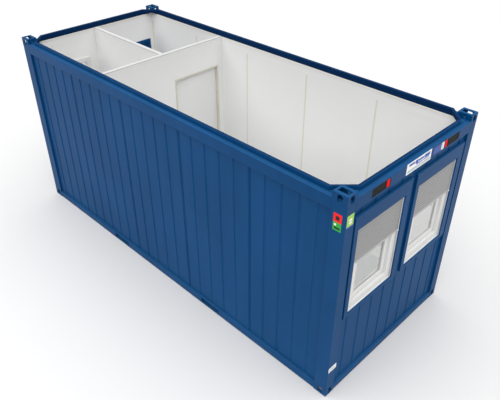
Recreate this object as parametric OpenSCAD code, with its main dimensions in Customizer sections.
// Portable site cabin, 20 foot size, standing open at the top with its roof taken off.
// +X is the short end with the two windows, -Y the closed long side, +Z up.
// The origin is at the middle of the footprint, at ground level.

/* [Overall] */
// Length over the corner castings
cabin_l = 6055; // [4900:5:7300]
// Width over the corner castings
cabin_w = 2435; // [2400:5:2950]
// Height over the corner castings
cabin_h = 2800; // [2795:5:3400]

/* [Corner castings] */
// Casting length along the cabin
casting_l = 178; // [150:1:215]
// Casting width across the cabin
casting_w = 142; // [130:1:165]
// Casting height
casting_h = 118; // [105:1:130]
// Casting wall thickness
casting_t = 12; // [8:1:14]
// Length of the slot in the top or bottom of a casting
slot_l = 124; // [90:1:140]
// Width of that slot
slot_w = 68; // [50:1:90]
// Width of the eye in the side of a casting
eye_w = 64; // [40:1:68]
// Height of that eye
eye_h = 92; // [68:1:94]
// Width of the smaller eye in the inner sides of a top casting
small_eye_w = 36; // [24:1:40]
// Height of the smaller eye
small_eye_h = 44; // [42:1:46]

/* [Base frame] */
// Clearance under the base rails
rail_lift = 10; // [6:1:14]
// Top of the base rails, which the wall panels stand on
rail_top = 102; // [98:1:116]
// Width of a forklift pocket
pocket_w = 352; // [300:1:420]
// Height of a forklift pocket
pocket_h = 78; // [66:1:80]
// Distance between the middles of the two forklift pockets
pocket_pitch = 2055; // [1800:5:2400]
// Wall thickness of the pocket sleeves
sleeve_t = 4; // [3:0.5:4]
// Number of floor cross members in each of the three bays
bay_joists = 4; // [3:1:5]
// Width of a floor cross member
joist_w = 60; // [40:1:80]
// Thickness of the sheet under the floor
subfloor_t = 3; // [2:0.5:3]
// Top of the floor covering above ground
floor_top = 157; // [150:1:175]
// Thickness of the floor boards with their covering
floor_t = 24; // [18:1:28]

/* [Walls] */
// Distance that the panels lie behind the faces of the frame
recess = 30; // [24:1:36]
// Thickness of an insulated outer panel
panel_t = 57.5; // [50:0.5:62]
// Thickness of the white inner lining
lining_t = 10; // [8:1:14]
// Height of the top of the walls below the top of the castings
wall_drop = 103; // [100:1:112]
// Distance between the vertical grooves
groove_pitch = 234.4; // [195:0.2:282]
// Width of a groove at the face
groove_w = 44; // [30:1:54]
// Width of the flat bottom of a groove
groove_floor = 22; // [10:1:28]
// Depth of a groove
groove_d = 9; // [6:1:12]

/* [Roof frame] */
// Height of the outer face of the roof rails
roof_face_h = 140; // [117:1:150]
// Depth of the ledge on the roof rails below the top of the castings
roof_drop = 76; // [70:1:90]
// Width of the ledge
ledge_w = 60; // [50:1:64]
// Height of the upstand behind the ledge
upstand_h = 55; // [40:1:62]
// Sheet thickness of the upstand, the lip and the corner gussets
sheet_t = 6; // [4:1:8]
// Distance along X or Y from a casting's inner corner to the slanting upstand that passes it
corner_clear = 8; // [4:1:40]

/* [Windows] */
// Width of a raised window casing
casing_w = 1000; // [940:1:1020]
// Underside of the casings above ground
casing_bottom = 1135; // [1000:1:1200]
// Height of a casing
casing_h = 1341; // [1280:1:1390]
// Gap between the two casings
casing_gap = 90; // [60:1:110]
// Width of the opening in a casing
opening_w = 831; // [720:1:860]
// Height of the opening
opening_h = 1130; // [1000:1:1180]
// Height of the casing's lower border
opening_lift = 45; // [35:1:90]
// Distance of the opening's middle from the casing's middle, towards -Y
opening_shift = 19; // [0:1:30]
// Depth from the casing's face to the roller shutter
shutter_depth = 19; // [12:1:20]
// Thickness of the roller shutter
shutter_t = 9; // [6:1:9]
// Length of shutter that is let down
shutter_drop = 461; // [200:1:900]
// Side clearance of the shutter in its opening
shutter_gap = 0.3; // [0.2:0.1:1]
// Height of a shutter slat
slat_h = 39; // [30:0.5:50]
// Height of the groove between two slats
slat_groove = 5; // [3:0.5:8]
// Depth of that groove
slat_groove_d = 3; // [2:0.5:4]
// Height of the shutter's end bar
end_bar_h = 32; // [24:1:40]
// Depth from the casing's face to the fixed window frame
frame_depth = 30; // [30:1:36]
// Width of the fixed frame's face
frame_face = 96; // [70:1:110]
// Depth of the window sill in front of the fixed frame
sill_d = 13; // [8:1:16]
// Thickness of the window sill
sill_t = 8; // [5:1:12]
// Depth from the casing's face to the sash
sash_depth = 64; // [56:1:70]
// Width of the sash's face
sash_face = 64; // [50:1:75]
// Thickness of the sash
sash_t = 48; // [42:1:52]
// Depth of the glass behind the sash's face
glass_inset = 14; // [8:1:16]
// Thickness of the glass unit
glass_t = 20; // [16:1:24]

/* [Partitions] */
// Partition thickness
partition_t = 60; // [45:1:75]
// Distance from the door end's lining to the middle of the cross partition
cross_at = 1751; // [1600:1:1900]
// Middle of the lengthwise partition, measured across the cabin
along_at = -15; // [-60:1:10]

/* [Doors] */
// Width over a door frame
door_w = 885; // [735:1:900]
// Height of a door frame above the floor covering
door_h = 2108; // [1980:1:2150]
// Middle of the entrance and of the inner door, measured across the cabin
door_at = 586; // [560:1:620]
// Depth of the stop that a leaf closes against
stop_w = 15; // [12:1:18]
// Clearance round a door leaf
leaf_gap = 5; // [5:0.5:8]
// Width of the entrance frame's face
entrance_face = 52; // [44:1:70]
// Thickness of the entrance leaf
entrance_t = 40; // [36:1:42]
// Distance that the entrance lies behind the outer sheet
entrance_inset = 18; // [14:1:24]
// Distance that the entrance frame stands out from the lining
entrance_proud = 12; // [10:1:16]
// Width of the inner frame's face
inner_face = 26; // [24:1:50]
// Thickness of the inner leaf
inner_t = 40; // [34:1:44]
// Distance that the inner frame stands out from the partition on its hinge side
inner_proud = 22; // [16:1:26]
// Distance from the side doorway to the cross partition
side_margin = 30; // [20:1:80]
// Radius of the door hinges
hinge_r = 8; // [6:1:9]
// Length of one knuckle of a hinge
knuckle_l = 55; // [40:1:70]
// Gap between the two knuckles of a hinge
knuckle_gap = 0.5; // [0.3:0.1:0.8]
// Width of the plate that joins a knuckle to its leaf or frame
hinge_plate_w = 24; // [20:1:28]
// Height of the lowest hinge above the floor covering
hinge_low = 260; // [200:5:350]
// Distance of the highest hinge below the top of the frame
hinge_high = 330; // [300:5:400]
// Height of the door handles above the floor covering
handle_h = 1040; // [950:1:1150]
// Distance from a handle to the edge of its leaf
handle_inset = 60; // [50:1:80]
// Length of a handle's lever
lever_l = 130; // [110:1:150]
// Radius of the lever
lever_r = 8; // [6:1:9]
// Distance of a lever from its leaf
lever_out = 38; // [34:1:40]
// Radius of a handle's rose
rose_r = 26; // [20:1:30]

/* [Small window] */
// Width of the small window in the door end
small_w = 768; // [640:1:800]
// Height of the small window
small_h = 830; // [690:1:900]
// Width of its frame
small_face = 72; // [50:1:80]
// Distance that its frame stands out from the lining
small_proud = 12; // [8:1:16]
// Distance that its frame lies behind the outer sheet
small_inset = 5; // [3:1:15]
// Thickness of its glass
small_glass_t = 20; // [12:1:24]

/* [Cable sockets] */
// Width of a cable socket in the window end's roof rail
socket_w = 310; // [260:1:340]
// Height of a cable socket
socket_h = 94; // [80:1:96]
// Depth of a cable socket
socket_d = 15; // [10:1:20]
// Distance of a socket's middle from the middle of the cabin
socket_at = 673; // [560:1:760]
// Wall thickness of a socket
socket_t = 4; // [3:0.5:5]
// Width of the red plug
plug_w = 62; // [40:1:80]

/* [Hidden] */
$fn = 48;

frame_blue = [0.13, 0.28, 0.48];
panel_blue = [0.16, 0.32, 0.52];
white = [0.86, 0.86, 0.85];
pvc_white = [0.93, 0.93, 0.92];
zinc = [0.66, 0.68, 0.70];
cut = 1;

// Halves of the footprint
half_l = cabin_l / 2;
half_w = cabin_w / 2;
// Inner ends of the castings, where the rails and panels start
rail_x = half_l - casting_l;
rail_y = half_w - casting_w;
// Outer face of the panels, the joint between panel and lining, and the inner face
core_t = recess + panel_t;
wall_t = core_t + lining_t;
sheet_x = half_l - recess;
sheet_y = half_w - recess;
core_x = half_l - core_t;
core_y = half_w - core_t;
room_x = half_l - wall_t;
room_y = half_w - wall_t;
wall_top = cabin_h - wall_drop;
// Roof rail heights
ledge_z = cabin_h - roof_drop;
roof_face_bottom = ledge_z - roof_face_h;
post_top = cabin_h - casting_h;
// Line of the upstand on the long side, and on the short end
up_y = half_w - ledge_w;
up_x = half_l - ledge_w;
// Length that the slanting upstand cuts off each way at a corner, to pass clear of the casting
corner_cut = casting_l + casting_w - 2 * ledge_w + corner_clear;
// Floor
deck_bottom = floor_top - floor_t;
joist_bottom = rail_lift + subfloor_t;
pocket_z = (rail_lift + rail_top) / 2;
sleeve_edge_in = pocket_pitch / 2 - pocket_w / 2 - sleeve_t;
sleeve_edge_out = pocket_pitch / 2 + pocket_w / 2 + sleeve_t;
// Windows
casing_y = (casing_gap + casing_w) / 2;
opening_z = casing_bottom + opening_lift;
// Partitions and doors
cross_x = cross_at - room_x;
cross_face_in = cross_x - partition_t / 2;
cross_face_out = cross_x + partition_t / 2;
door_top = floor_top + door_h;
side_door_x = cross_face_in - side_margin - door_w / 2;
// The outward faces of the two hinged doors, which both open towards -X
entrance_x = entrance_inset - sheet_x;
entrance_d = panel_t + lining_t - entrance_inset + entrance_proud;
inner_x = cross_face_in - inner_proud;
hinge_out = hinge_r + 1;

// A box between two opposite corners
module span(low, high) {
    translate(low) cube(high - low);
}

// What is drawn for the corner at +X +Y, repeated at all four corners
module four_corners() {
    for (mx = [0, 1])
        for (my = [0, 1])
            mirror([mx, 0, 0]) mirror([0, my, 0]) children();
}

// A profile of (depth from the face, height) run along the long side at -Y
module long_rail(profile, l) {
    translate([0, -half_w, 0])
        rotate([90, 0, 90])
            linear_extrude(l, center = true) polygon(profile);
}

// The same along the short end at -X
module end_rail(profile, l) {
    translate([-half_l, 0, 0])
        rotate([90, 0, 0])
            linear_extrude(l, center = true) polygon(profile);
}

function rect_profile(low, high) = [low, [high[0], low[1]], high, [low[0], high[1]]];
base_profile = rect_profile([0, rail_lift], [wall_t, rail_top]);
roof_profile = [
    [0, roof_face_bottom], [recess, roof_face_bottom], [recess, wall_top], [wall_t, wall_top],
    [wall_t, wall_top + sheet_t], [ledge_w + sheet_t, wall_top + sheet_t],
    [ledge_w + sheet_t, ledge_z], [0, ledge_z]
];
upstand_profile = rect_profile([ledge_w, ledge_z - cut], [ledge_w + sheet_t, ledge_z + upstand_h]);

// ---- Base frame ----

module pocket_holes() {
    for (side = [-1, 1])
        translate([side * pocket_pitch / 2, 0, pocket_z])
            cube([pocket_w, cabin_w + 2 * cut, pocket_h], center = true);
}

module base_rail_front() color(frame_blue)
    difference() {
        long_rail(base_profile, 2 * rail_x);
        pocket_holes();
    }

module base_rail_back() mirror([0, 1, 0]) base_rail_front();

module base_rail_door_end() color(frame_blue) end_rail(base_profile, 2 * rail_y);

module base_rail_window_end() mirror([1, 0, 0]) base_rail_door_end();

module fork_sleeves() color(zinc)
    difference() {
        for (side = [-1, 1])
            translate([side * pocket_pitch / 2, 0, pocket_z])
                cube([pocket_w + 2 * sleeve_t, 2 * room_y, pocket_h + 2 * sleeve_t], center = true);
        pocket_holes();
    }

// Cross members of the bay from x = a to x = b
module joist_bay(a, b) {
    for (i = [0 : bay_joists - 1])
        translate([a + (b - a) * (i + 0.5) / bay_joists, 0, joist_bottom])
            translate([-joist_w / 2, -room_y, 0])
                cube([joist_w, 2 * room_y, deck_bottom - joist_bottom]);
}

module floor_cross_members() color(zinc) {
    joist_bay(-room_x, -sleeve_edge_out);
    joist_bay(-sleeve_edge_in, sleeve_edge_in);
    joist_bay(sleeve_edge_out, room_x);
}

module subfloor_sheet() color(zinc)
    difference() {
        span([-room_x, -room_y, rail_lift], [room_x, room_y, joist_bottom]);
        four_corners() span([rail_x, rail_y, 0], [half_l, half_w, casting_h]);
    }

module floor_deck() color([0.55, 0.56, 0.56])
    span([-room_x, -room_y, deck_bottom], [room_x, room_y, floor_top]);

// ---- Corner castings and posts ----

// Upright hole with round ends through a wall that faces X, centred on the origin
module eye(w, h) {
    rotate([0, 90, 0]) {
        for (side = [-1, 1])
            translate([side * (h - w) / 2, 0, 0])
                cylinder(d = w, h = 3 * casting_t, center = true);
        cube([h - w, w, 3 * casting_t], center = true);
    }
}

// Hollow inside, the slot on the resting or stacking face at z = 0, and the eyes outside
module casting_cavity() {
    span([rail_x + casting_t, rail_y + casting_t, casting_t],
         [half_l - casting_t, half_w - casting_t, casting_h - casting_t]);
    translate([half_l - casting_l / 2, half_w - casting_w / 2, casting_t / 2])
        cube([slot_l, slot_w, 2 * casting_t], center = true);
    translate([half_l - casting_t / 2, half_w - casting_w / 2, casting_h / 2]) eye(eye_w, eye_h);
    translate([half_l - casting_l / 2, half_w - casting_t / 2, casting_h / 2])
        rotate([0, 0, 90]) eye(eye_w, eye_h);
}

// Plan of a corner post: an angle with legs as thick as the walls' outer panels
module post_plan(inset) {
    polygon([
        [rail_x + inset, core_y + inset], [core_x + inset, core_y + inset],
        [core_x + inset, rail_y + inset], [half_l - inset, rail_y + inset],
        [half_l - inset, half_w - inset], [rail_x + inset, half_w - inset]
    ]);
}

module base_castings() color(frame_blue)
    four_corners()
        difference() {
            span([rail_x, rail_y, 0], [half_l, half_w, casting_h]);
            casting_cavity();
        }

module corner_posts() color(frame_blue)
    four_corners()
        translate([0, 0, casting_h]) linear_extrude(post_top - casting_h) post_plan(0);

// A top casting stands free of the room above the ledge and is an angle below it
module top_castings() color(frame_blue)
    four_corners()
        difference() {
            union() {
                translate([0, 0, post_top]) linear_extrude(ledge_z - post_top + cut) post_plan(0);
                span([rail_x, rail_y, ledge_z], [half_l, half_w, cabin_h]);
            }
            intersection() {
                translate([0, 0, cabin_h]) mirror([0, 0, 1]) casting_cavity();
                union() {
                    translate([0, 0, post_top])
                        linear_extrude(casting_h) lower_hollow_plan();
                    span([rail_x - cut, rail_y - cut, ledge_z + casting_t],
                         [half_l + cut, half_w + cut, cabin_h + cut]);
                }
            }
            for (turn = [0, 1])
                translate([
                    turn == 0 ? rail_x + casting_t / 2 : half_l - casting_l / 2,
                    turn == 0 ? half_w - casting_w / 2 : rail_y + casting_t / 2,
                    ledge_z + casting_t + small_eye_h / 2
                ])
                    rotate([0, 0, 90 * turn]) eye(small_eye_w, small_eye_h);
        }

// Plan of the hollow in the lower, angle-shaped part of a top casting, open to the outside eyes
module lower_hollow_plan() {
    post_plan(casting_t);
    translate([half_l - casting_t - cut, half_w - casting_w / 2 - eye_w / 2])
        square([casting_t + 2 * cut, eye_w]);
    translate([half_l - casting_l / 2 - eye_w / 2, half_w - casting_t - cut])
        square([eye_w, casting_t + 2 * cut]);
}

// ---- Roof frame ----

module roof_rail_front() color(frame_blue) {
    long_rail(roof_profile, 2 * rail_x);
    long_rail(upstand_profile, 2 * (up_x - corner_cut));
}

module roof_rail_back() mirror([0, 1, 0]) roof_rail_front();

module roof_rail_door_end() color(frame_blue) {
    end_rail(roof_profile, 2 * rail_y);
    end_rail(upstand_profile, 2 * (up_y - corner_cut));
}

module socket_places() {
    for (side = [-1, 1])
        translate([half_l, side * socket_at, (ledge_z + roof_face_bottom) / 2])
            mirror([0, side < 0 ? 1 : 0, 0]) children();
}

module roof_rail_window_end() color(frame_blue)
    difference() {
        mirror([1, 0, 0]) roof_rail_door_end();
        socket_places()
            translate([-socket_d, -socket_w / 2, -socket_h / 2])
                cube([socket_d + cut, socket_w, socket_h]);
    }

// Slanting upstand across a corner with the gusset that closes the ledge behind it
module roof_corner_gussets() color(frame_blue)
    four_corners() {
        translate([0, 0, ledge_z])
            linear_extrude(upstand_h)
                polygon([
                    [up_x - corner_cut, up_y], [up_x, up_y - corner_cut],
                    [up_x - sheet_t, up_y - corner_cut], [up_x - corner_cut, up_y - sheet_t]
                ]);
        translate([0, 0, ledge_z])
            linear_extrude(sheet_t)
                difference() {
                    polygon([[up_x - corner_cut, up_y - sheet_t], [up_x - corner_cut, up_y],
                             [up_x, up_y], [up_x, up_y - corner_cut],
                             [up_x - sheet_t, up_y - corner_cut]]);
                    translate([rail_x, rail_y]) square([casting_l, casting_w]);
                }
    }

// ---- Walls ----

// Middles of the grooves on a wall of length l, starting half a pitch off the middle if half is 0.5
function grooves(l, half) = [
    for (k = [-ceil(l / groove_pitch / 2) : ceil(l / groove_pitch / 2)])
        if (abs(k + half) * groove_pitch < l / 2 - groove_w) (k + half) * groove_pitch
];

// Plan of a panel of length l: (place along the wall, depth from the sheet)
function panel_plan(l, half) = concat(
    [[-l / 2, 0]],
    [for (c = grooves(l, half), p = [
        [c - groove_w / 2, 0], [c - groove_floor / 2, groove_d],
        [c + groove_floor / 2, groove_d], [c + groove_w / 2, 0]
    ]) p],
    [[l / 2, 0], [l / 2, panel_t], [-l / 2, panel_t]]
);

module front_wall_panel() color(panel_blue)
    translate([0, -sheet_y, rail_top])
        linear_extrude(wall_top - rail_top) polygon(panel_plan(2 * rail_x, 0.5));

module back_wall_panel() mirror([0, 1, 0]) front_wall_panel();

module front_wall_lining() color(white)
    span([-core_x, -core_y, casting_h], [core_x, -room_y, wall_top]);

module back_wall_lining() mirror([0, 1, 0]) front_wall_lining();

module end_panel() {
    translate([sheet_x, 0, rail_top])
        rotate([0, 0, 90])
            linear_extrude(wall_top - rail_top) polygon(panel_plan(2 * rail_y, 0));
}

module end_lining() {
    span([room_x, -room_y, casting_h], [core_x, room_y, wall_top]);
}

// ---- Windows ----

// Moves what is drawn for a window at the middle of its opening to the left or right opening
module at_window(side) {
    translate([half_l, side * casing_y - opening_shift, opening_z]) children();
}

// Ring whose outside is w by h standing on z = 0, with a face of f, from depth a to depth b
module ring(w, h, f, a, b) {
    difference() {
        span([-b, -w / 2, 0], [-a, w / 2, h]);
        span([-b - cut, -w / 2 + f, f], [-a + cut, w / 2 - f, h - f]);
    }
}

module window_holes() {
    for (side = [-1, 1])
        at_window(side)
            span([-2 * wall_t, -opening_w / 2, 0], [cut, opening_w / 2, opening_h]);
}

module window_wall_panel() color(panel_blue)
    difference() {
        end_panel();
        window_holes();
    }

module window_wall_lining() color(white)
    difference() {
        end_lining();
        window_holes();
    }

module window_casing(side) color(frame_blue)
    difference() {
        span([sheet_x, side * casing_y - casing_w / 2, casing_bottom],
             [half_l, side * casing_y + casing_w / 2, casing_bottom + casing_h]);
        window_holes();
    }

module window_frame(side) color(pvc_white)
    at_window(side) {
        ring(opening_w, opening_h, frame_face, frame_depth, wall_t);
        span([-frame_depth - cut, -opening_w / 2, 0], [sill_d - frame_depth, opening_w / 2, sill_t]);
    }

module window_sash(side) color(pvc_white)
    at_window(side)
        translate([0, 0, frame_face])
            ring(opening_w - 2 * frame_face, opening_h - 2 * frame_face, sash_face,
                 sash_depth, sash_depth + sash_t);

module window_glass(side) color([0.72, 0.80, 0.80])
    at_window(side) {
        inset = frame_face + sash_face;
        depth = sash_depth + glass_inset;
        span([-depth - glass_t, -opening_w / 2 + inset, inset],
             [-depth, opening_w / 2 - inset, opening_h - inset]);
    }

// Roller shutter let down part of the way, its slats parted by grooves on the outside
module shutter(side) color([0.62, 0.62, 0.62])
    at_window(side) {
        half = opening_w / 2 - shutter_gap;
        bottom = opening_h - shutter_drop;
        difference() {
            span([-shutter_depth - shutter_t, -half, bottom], [-shutter_depth, half, opening_h]);
            for (z = [bottom + end_bar_h : slat_h : opening_h - slat_groove])
                span([-shutter_depth - slat_groove_d, -half - cut, z],
                     [-shutter_depth + cut, half + cut, z + slat_groove]);
        }
    }

// ---- Door end ----

module door_hole() {
    span([-half_l, door_at - door_w / 2, 0], [-room_x + cut, door_at + door_w / 2, door_top]);
}

module small_window_hole() {
    span([-half_l, -door_at - small_w / 2, door_top - small_h],
         [-room_x + cut, -door_at + small_w / 2, door_top]);
}

// What lies over the entrance, from its frame to the roof rail
module over_entrance() {
    span([-half_l, door_at - door_w / 2, door_top], [0, door_at + door_w / 2, cabin_h]);
}

module door_wall_panel() color(panel_blue)
    difference() {
        mirror([1, 0, 0]) end_panel();
        door_hole();
        over_entrance();
        small_window_hole();
    }

module door_wall_over() color(panel_blue)
    intersection() {
        mirror([1, 0, 0]) end_panel();
        over_entrance();
    }

module door_wall_lining() color(white)
    difference() {
        mirror([1, 0, 0]) end_lining();
        door_hole();
        small_window_hole();
    }

module small_window_frame() color(pvc_white)
    translate([small_proud - room_x, -door_at, door_top - small_h])
        ring(small_w, small_h, small_face, 0, small_proud + wall_t - recess - small_inset);

module small_window_glass() color([0.90, 0.92, 0.92])
    translate([-room_x - lining_t, -door_at, door_top - small_h])
        span([-small_glass_t, small_face - small_w / 2, small_face],
             [0, small_w / 2 - small_face, small_h - small_face]);

// ---- Partitions ----

module cross_partition() color(white) {
    span([cross_face_in, -room_y, floor_top], [cross_face_out, door_at - door_w / 2, wall_top]);
    span([cross_face_in, door_at + door_w / 2, floor_top], [cross_face_out, room_y, wall_top]);
}

module cross_partition_over() color(white)
    span([cross_face_in, door_at - door_w / 2, door_top],
         [cross_face_out, door_at + door_w / 2, wall_top]);

module along_partition() color(white) {
    low = along_at - partition_t / 2;
    high = along_at + partition_t / 2;
    span([-room_x, low, floor_top], [side_door_x - door_w / 2, high, wall_top]);
    span([side_door_x + door_w / 2, low, floor_top], [cross_face_in, high, wall_top]);
}

module along_partition_over() color(white)
    span([side_door_x - door_w / 2, along_at - partition_t / 2, door_top],
         [side_door_x + door_w / 2, along_at + partition_t / 2, wall_top]);

module side_doorway_frame() color([0.80, 0.78, 0.72])
    translate([side_door_x, along_at, floor_top])
        difference() {
            translate([-door_w / 2, -partition_t / 2, 0]) cube([door_w, partition_t, door_h]);
            translate([inner_face - door_w / 2, -partition_t, -cut])
                cube([door_w - 2 * inner_face, 2 * partition_t, door_h - inner_face + cut]);
        }

// ---- Hinged doors ----
// Both open towards -X about an upright axis outside the face, at the +Y edge of the leaf.

// Edge of the leaf's opening, half the leaf, and the hinge axis, from the door's middle
function clear_half(face) = door_w / 2 - face + stop_w;
function leaf_half(face) = clear_half(face) - leaf_gap;
function hinge_y(face) = door_at + leaf_half(face) + leaf_gap / 2;
function leaf_top(face) = door_top - face + stop_w - leaf_gap;
leaf_bottom = floor_top + leaf_gap;
hinge_heights = [
    floor_top + hinge_low,
    floor_top + door_h / 2 - knuckle_l,
    door_top - hinge_high
];

// One knuckle on the hinge axis with the plate that joins it to the face at x, towards dir
module knuckle(x, face, z, dir) {
    translate([x - hinge_out, hinge_y(face), z]) {
        cylinder(r = hinge_r, h = knuckle_l);
        translate([0, dir < 0 ? -hinge_plate_w : 0, 0])
            cube([hinge_out + cut, hinge_plate_w, knuckle_l]);
    }
}

// Frame with its stop, from the face at x to depth d, with a sill if it starts below the floor
module door_frame(x, d, face, leaf_t, bottom) {
    clear = clear_half(face);
    stop_half = door_w / 2 - face;
    low = bottom < floor_top ? floor_top : floor_top - cut;
    difference() {
        span([x, door_at - door_w / 2, bottom], [x + d, door_at + door_w / 2, door_top]);
        span([x - cut, door_at - clear, low],
             [x + leaf_t + leaf_gap, door_at + clear, door_top - face + stop_w]);
        span([x, door_at - stop_half, low], [x + d + cut, door_at + stop_half, door_top - face]);
    }
    for (z = hinge_heights)
        knuckle(x, face, z, 1);
}

module door_leaf(x, face, leaf_t) {
    span([x, door_at - leaf_half(face), leaf_bottom],
         [x + leaf_t, door_at + leaf_half(face), leaf_top(face)]);
    for (z = hinge_heights)
        knuckle(x, face, z + knuckle_l + knuckle_gap, -1);
}

// Rose, neck and lever on one side of a leaf, built outwards along -X from the leaf's face
module lever_set() {
    translate([-lever_r, 0, 0]) rotate([0, 90, 0]) cylinder(r = rose_r, h = lever_r);
    translate([-lever_out, 0, 0]) rotate([0, 90, 0]) cylinder(r = lever_r, h = lever_out);
    translate([-lever_out, 0, 0]) sphere(r = lever_r);
    translate([-lever_out, 0, 0]) rotate([-90, 0, 0]) cylinder(r = lever_r, h = lever_l - lever_r);
    translate([-lever_out, lever_l - lever_r, 0]) sphere(r = lever_r);
}

module door_handle(x, face, leaf_t) {
    translate([x, door_at - leaf_half(face) + handle_inset, floor_top + handle_h]) {
        lever_set();
        translate([leaf_t, 0, 0]) mirror([1, 0, 0]) lever_set();
    }
}

module entrance_frame() color(frame_blue)
    difference() {
        door_frame(entrance_x, entrance_d, entrance_face, entrance_t, rail_top);
        span([-room_x, -half_w, 0], [0, half_w, floor_top]);
    }

module entrance_leaf() color(panel_blue) door_leaf(entrance_x, entrance_face, entrance_t);

module entrance_handle() color(zinc) door_handle(entrance_x, entrance_face, entrance_t);

module inner_frame() color([0.80, 0.78, 0.72])
    door_frame(inner_x, inner_proud + partition_t, inner_face, inner_t, floor_top);

module inner_leaf() color(white) door_leaf(inner_x, inner_face, inner_t);

module inner_handle() color(zinc) door_handle(inner_x, inner_face, inner_t);

// ---- Cable sockets ----

module cable_sockets() color([0.12, 0.12, 0.12])
    socket_places()
        difference() {
            translate([-socket_d, -socket_w / 2, -socket_h / 2])
                cube([socket_d, socket_w, socket_h]);
            translate([socket_t - socket_d, socket_t - socket_w / 2, socket_t - socket_h / 2])
                cube([socket_d, socket_w - 2 * socket_t, socket_h - 2 * socket_t]);
        }

module socket_plugs() color([0.80, 0.10, 0.08])
    socket_places()
        translate([socket_t - socket_d, socket_t - socket_w / 2, socket_t - socket_h / 2])
            cube([socket_d - socket_t, plug_w, socket_h - 2 * socket_t]);

base_rail_front();
base_rail_back();
base_rail_window_end();
base_rail_door_end();
fork_sleeves();
floor_cross_members();
subfloor_sheet();
floor_deck();
base_castings();
corner_posts();
top_castings();
roof_rail_front();
roof_rail_back();
roof_rail_window_end();
roof_rail_door_end();
roof_corner_gussets();
front_wall_panel();
front_wall_lining();
back_wall_panel();
back_wall_lining();
window_wall_panel();
window_wall_lining();
window_casing(-1);  // window_casing_left
window_casing(1);  // window_casing_right
window_frame(-1);  // window_frame_left
window_frame(1);  // window_frame_right
window_sash(-1);  // window_sash_left
window_sash(1);  // window_sash_right
window_glass(-1);  // window_glass_left
window_glass(1);  // window_glass_right
shutter(-1);  // shutter_left
shutter(1);  // shutter_right
door_wall_panel();
door_wall_over();
door_wall_lining();
small_window_frame();
small_window_glass();
cross_partition();
cross_partition_over();
along_partition();
along_partition_over();
entrance_frame();
entrance_leaf();
entrance_handle();
inner_frame();
inner_leaf();
inner_handle();
side_doorway_frame();
cable_sockets();
socket_plugs();
